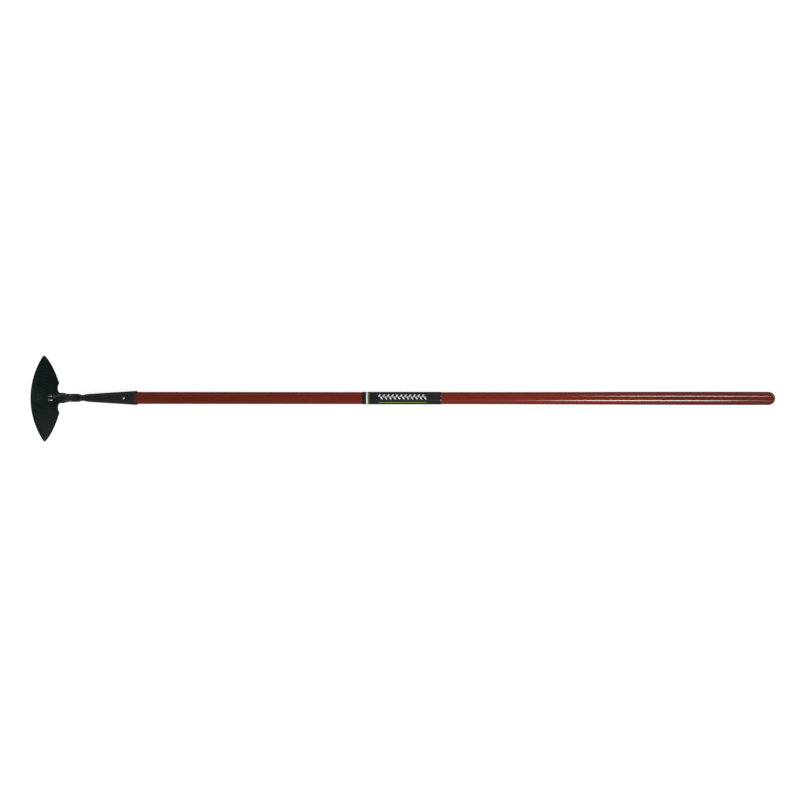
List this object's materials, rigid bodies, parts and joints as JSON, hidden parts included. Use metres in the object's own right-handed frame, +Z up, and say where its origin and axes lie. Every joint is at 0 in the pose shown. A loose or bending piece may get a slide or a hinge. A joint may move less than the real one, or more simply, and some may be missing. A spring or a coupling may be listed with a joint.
{
  "type": "draw hoe",
  "caption": "Long-handled draw hoe with a pointed, dished steel blade on a swan neck and a tapered socket riveted to a turned wooden handle.",
  "frame": {"origin": "on the ground under the middle of the tool's bounding box", "axes": "+X along the handle from the blade end to the butt, +Z up, the way the blade points as it lies, Y across the blade"},
  "size_m": [1.5294, 0.174, 0.1304],
  "materials": {
    "blade_paint": "dark green-black paint, satin, faint orange peel",
    "neck_paint": "dark green-black paint over a forged surface",
    "weld_paint": "the same paint over weld metal",
    "socket_paint": "dark green-black paint, satin",
    "zinc": "bright zinc plate",
    "stained_wood": "red-brown stain under gloss lacquer, grain along the handle",
    "label_film": "black printed film with plain green rings and pale leaf shapes"
  },
  "bodies": {
    "root": {"blade": "blade_paint", "neck": "neck_paint", "blade_weld_left": "weld_paint", "blade_weld_right": "weld_paint", "neck_socket_weld": "weld_paint", "socket": "socket_paint", "rivet": "zinc", "handle": "stained_wood", "label": "label_film"}
  },
  "joints": []
}
